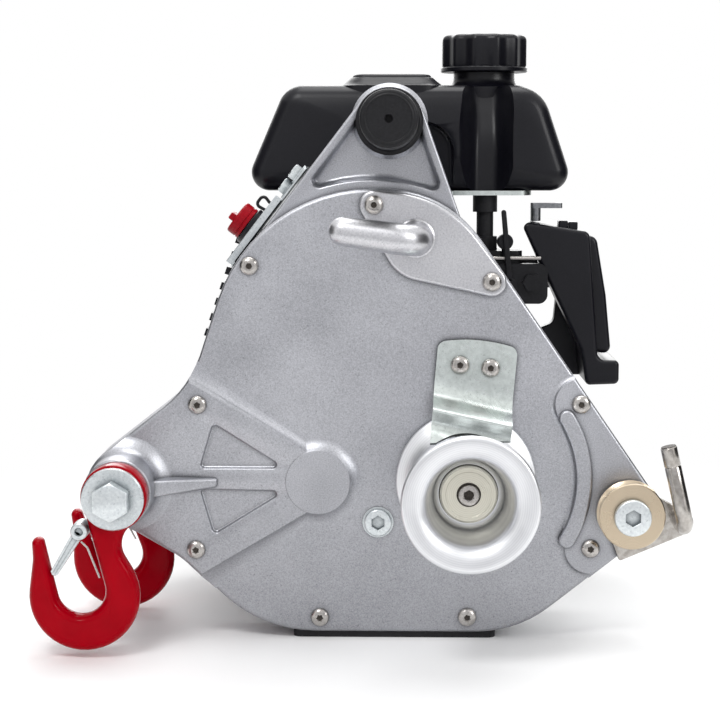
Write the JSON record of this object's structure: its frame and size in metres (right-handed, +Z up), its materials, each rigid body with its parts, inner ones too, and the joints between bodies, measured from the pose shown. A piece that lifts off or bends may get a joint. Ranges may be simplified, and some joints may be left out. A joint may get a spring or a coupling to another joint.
{
  "type": "capstan winch",
  "caption": "Portable petrol capstan winch: cast gear case with a turned drum, rope sheave and guide, red safety hooks, carry grip and an engine with a fuel tank behind.",
  "frame": {"origin": "on the floor under the flat bottom of the gear case, at the joint between housing and cover", "axes": "+X to the right seen from the drum side, +Y to the engine, +Z up"},
  "size_m": [0.3885, 0.329, 0.3685],
  "materials": {
    "cast_aluminium": "tumbled die casting",
    "turned_aluminium": "turned and polished",
    "engine_aluminium": "as cast",
    "bright_steel": "bright",
    "zinc_steel": "zinc plated",
    "yellow_zinc": "yellow zinc plated, brushed",
    "dark_steel": "oiled",
    "bearing_steel": "ground",
    "black_metal": "satin black",
    "red_paint": "gloss",
    "sheave_brass": "turned",
    "black_rubber": "matte",
    "gasket_fibre": "matte",
    "black_plastic": "satin moulded",
    "red_plastic": "satin moulded",
    "black_switch": "moulded"
  },
  "bodies": {
    "frame": {"gear_housing": "cast_aluminium", "housing_cover": "cast_aluminium", "cover_gasket": "gasket_fibre", "button_screws": "bright_steel", "oil_plug": "zinc_steel", "base_pad": "black_rubber", "rope_hook": "cast_aluminium", "rope_keeper": "yellow_zinc", "exit_guide": "bright_steel", "sheave_bolt": "zinc_steel", "carry_grip": "black_rubber", "handle_bar": "bright_steel", "hook_bolt": "zinc_steel", "hook_fittings": "zinc_steel", "output_bearings": "bearing_steel", "output_seal": "black_rubber", "shaft_bearings": "bearing_steel", "crankcase": "engine_aluminium", "cylinder_block": "engine_aluminium", "cylinder_head": "engine_aluminium", "valve_cover": "black_metal", "spark_plug": "bright_steel", "fan_cover": "black_plastic", "recoil_cover": "black_plastic", "bell_bolts": "zinc_steel", "fuel_tank": "black_plastic", "tank_bracket": "yellow_zinc", "carburettor": "engine_aluminium", "intake_flange": "black_metal", "fuel_hose": "black_rubber", "air_cleaner_case": "black_plastic", "air_cleaner_cover": "black_plastic", "muffler": "black_metal", "muffler_guard": "black_plastic", "switch_bracket": "bright_steel", "switch_body": "black_switch"},
    "capstan": {"capstan_drum": "turned_aluminium", "drum_retainer": "bright_steel", "drum_bolt": "dark_steel", "drum_key": "dark_steel", "output_shaft": "dark_steel", "output_gear": "dark_steel"},
    "layshaft": {"layshaft": "dark_steel", "layshaft_gear": "dark_steel"},
    "input": {"input_shaft": "dark_steel", "clutch_drum": "dark_steel"},
    "crank": {"crankshaft": "dark_steel", "flywheel": "engine_aluminium"},
    "shoe_upper": {"clutch_shoe_upper": "dark_steel"},
    "shoe_lower": {"clutch_shoe_lower": "dark_steel"},
    "front_hook": {"front_hook": "red_paint"},
    "rear_hook": {"rear_hook": "red_paint"},
    "front_latch": {"front_latch": "zinc_steel"},
    "rear_latch": {"rear_latch": "zinc_steel"},
    "sheave": {"sheave": "sheave_brass"},
    "fuel_cap": {"fuel_cap": "black_plastic"},
    "choke": {"choke_lever": "yellow_zinc"},
    "throttle": {"throttle_lever": "bright_steel"},
    "switch": {"switch_knob": "red_plastic"},
    "starter": {"starter_grip": "black_plastic"}
  },
  "joints": [
    {"name": "capstan_spin", "type": "hinge", "parent": "frame", "child": "capstan", "pos_m": [0.0413, -0.06, 0.0975], "axis": [0, 1, 0], "continuous": true},
    {"name": "layshaft_spin", "type": "hinge", "parent": "frame", "child": "layshaft", "pos_m": [-0.00925, 0.01, 0.16333], "axis": [0, 1, 0], "continuous": true},
    {"name": "input_spin", "type": "hinge", "parent": "frame", "child": "input", "pos_m": [-0.0466, 0.04, 0.096], "axis": [0, 1, 0], "continuous": true},
    {"name": "crank_spin", "type": "hinge", "parent": "frame", "child": "crank", "pos_m": [-0.0466, 0.12, 0.096], "axis": [0, 1, 0], "continuous": true},
    {"name": "shoe_upper_slide", "type": "slide", "parent": "crank", "child": "shoe_upper", "axis": [0, 0, 1], "range_m": [0, 0.0005], "stiffness_N_per_m": 20000},
    {"name": "shoe_lower_slide", "type": "slide", "parent": "crank", "child": "shoe_lower", "axis": [0, 0, -1], "range_m": [0, 0.0005], "stiffness_N_per_m": 20000},
    {"name": "front_hook_swing", "type": "hinge", "parent": "frame", "child": "front_hook", "pos_m": [-0.1618, -0.063, 0.0945], "axis": [0, 1, 0], "continuous": true},
    {"name": "rear_hook_swing", "type": "hinge", "parent": "frame", "child": "rear_hook", "pos_m": [-0.1618, 0.042, 0.0945], "axis": [0, 1, 0], "range_deg": [-48, 195]},
    {"name": "front_latch_hinge", "type": "hinge", "parent": "front_hook", "child": "front_latch", "pos_m": [-0.1818, -0.063, 0.075], "axis": [0, 1, 0], "range_deg": [-30, 0], "stiffness_Nm_per_rad": 0.05, "springref_deg": 17.19},
    {"name": "rear_latch_hinge", "type": "hinge", "parent": "rear_hook", "child": "rear_latch", "pos_m": [-0.17946, 0.042, 0.07286], "axis": [0, 1, 0], "range_deg": [-30, 0], "stiffness_Nm_per_rad": 0.05, "springref_deg": 17.19},
    {"name": "sheave_spin", "type": "hinge", "parent": "frame", "child": "sheave", "pos_m": [0.1381, -0.0353, 0.0793], "axis": [0, 1, 0], "continuous": true},
    {"name": "fuel_cap_turn", "type": "hinge", "parent": "frame", "child": "fuel_cap", "pos_m": [0.0583, 0.145, 0.35], "axis": [0, 0, 1], "range_deg": [0, 120]},
    {"name": "choke_turn", "type": "hinge", "parent": "frame", "child": "choke", "pos_m": [0.092, 0.118, 0.245], "axis": [0, 0, 1], "range_deg": [0, 90]},
    {"name": "throttle_swing", "type": "hinge", "parent": "frame", "child": "throttle", "pos_m": [0.0735, 0.0855, 0.205], "axis": [0, 1, 0], "range_deg": [-15, 15]},
    {"name": "switch_turn", "type": "hinge", "parent": "frame", "child": "switch", "pos_m": [-0.09519, 0.07, 0.24516], "axis": [-0.7936, 0, 0.6085], "range_deg": [0, 90]},
    {"name": "starter_pull", "type": "slide", "parent": "frame", "child": "starter", "axis": [1, 0, 0], "range_m": [0, 0.5], "stiffness_N_per_m": 20}
  ],
  "couplings": [
    {"joint": "layshaft_spin", "follows": "capstan_spin", "ratio": -6.5455},
    {"joint": "input_spin", "follows": "capstan_spin", "ratio": 39.273},
    {"joint": "shoe_lower_slide", "follows": "shoe_upper_slide", "ratio": 1}
  ]
}
